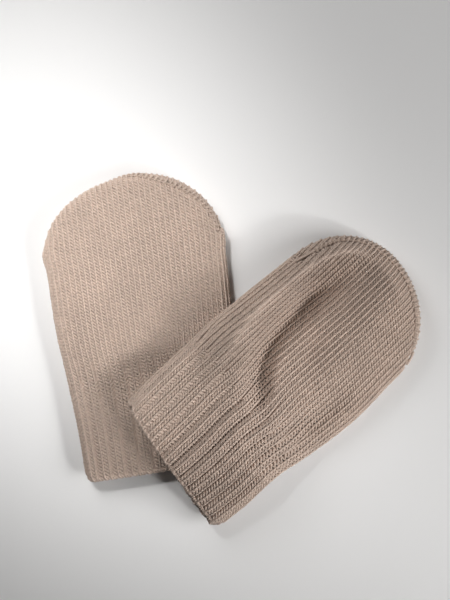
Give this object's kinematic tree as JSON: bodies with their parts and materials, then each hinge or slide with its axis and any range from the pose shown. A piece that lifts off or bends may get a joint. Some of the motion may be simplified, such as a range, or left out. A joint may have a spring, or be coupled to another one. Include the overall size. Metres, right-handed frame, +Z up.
{
  "type": "knitted mittens",
  "caption": "Pair of thumbless knitted baby mittens with ribbed cuffs and seamed round finger ends, one lying across the other.",
  "frame": {"origin": "centre of the pair's bounding box on the table", "axes": "+Z up from the table, +X to the right along the pair's longest side, +Y towards the lower mitten's fingertip"},
  "size_m": [0.1453, 0.139, 0.0293],
  "materials": {
    "knit_fabric": "matt plain-knit wool",
    "rib_fabric": "matt ribbed wool",
    "cuff_edge_yarn": "matt rolled cast-on row",
    "seam_yarn": "matt linked seam",
    "binding_thread": "fine matt thread"
  },
  "bodies": {
    "lower_mitten": {"lower_cuff_edge": "cuff_edge_yarn", "lower_cuff_back": "rib_fabric", "lower_cuff_palm": "rib_fabric", "lower_hand_back": "knit_fabric", "lower_hand_palm": "knit_fabric"},
    "lower_finger_end": {"lower_tip_back": "knit_fabric", "lower_tip_palm": "knit_fabric", "lower_tip_seam": "seam_yarn", "lower_seam_thread": "binding_thread"},
    "upper_mitten": {"upper_hand_back": "knit_fabric", "upper_hand_palm": "knit_fabric"},
    "upper_cuff": {"upper_cuff_edge": "cuff_edge_yarn", "upper_cuff_back": "rib_fabric", "upper_cuff_palm": "rib_fabric"},
    "upper_finger_end": {"upper_tip_back": "knit_fabric", "upper_tip_palm": "knit_fabric", "upper_tip_seam": "seam_yarn", "upper_seam_thread": "binding_thread"}
  },
  "joints": [
    {"name": "lower_finger_end_flex", "type": "hinge", "parent": "lower_mitten", "child": "lower_finger_end", "pos_m": [-0.03445, 0.02118, 0.011], "axis": [0.9914, 0.1305, 0], "range_deg": [0, 40]},
    {"name": "upper_mitten_lift", "type": "slide", "parent": "lower_mitten", "child": "upper_mitten", "axis": [0, 0, 1], "range_m": [0, 0.06]},
    {"name": "upper_finger_end_flex", "type": "hinge", "parent": "upper_mitten", "child": "upper_finger_end", "pos_m": [0.0346, 0.00297, 0.0238], "axis": [0.6884, -0.7254, 0], "range_deg": [0, 30]},
    {"name": "upper_cuff_flex", "type": "hinge", "parent": "upper_mitten", "child": "upper_cuff", "pos_m": [0.00803, -0.02131, 0.027], "axis": [-0.6151, 0.7885, 0], "range_deg": [0, 30]}
  ]
}
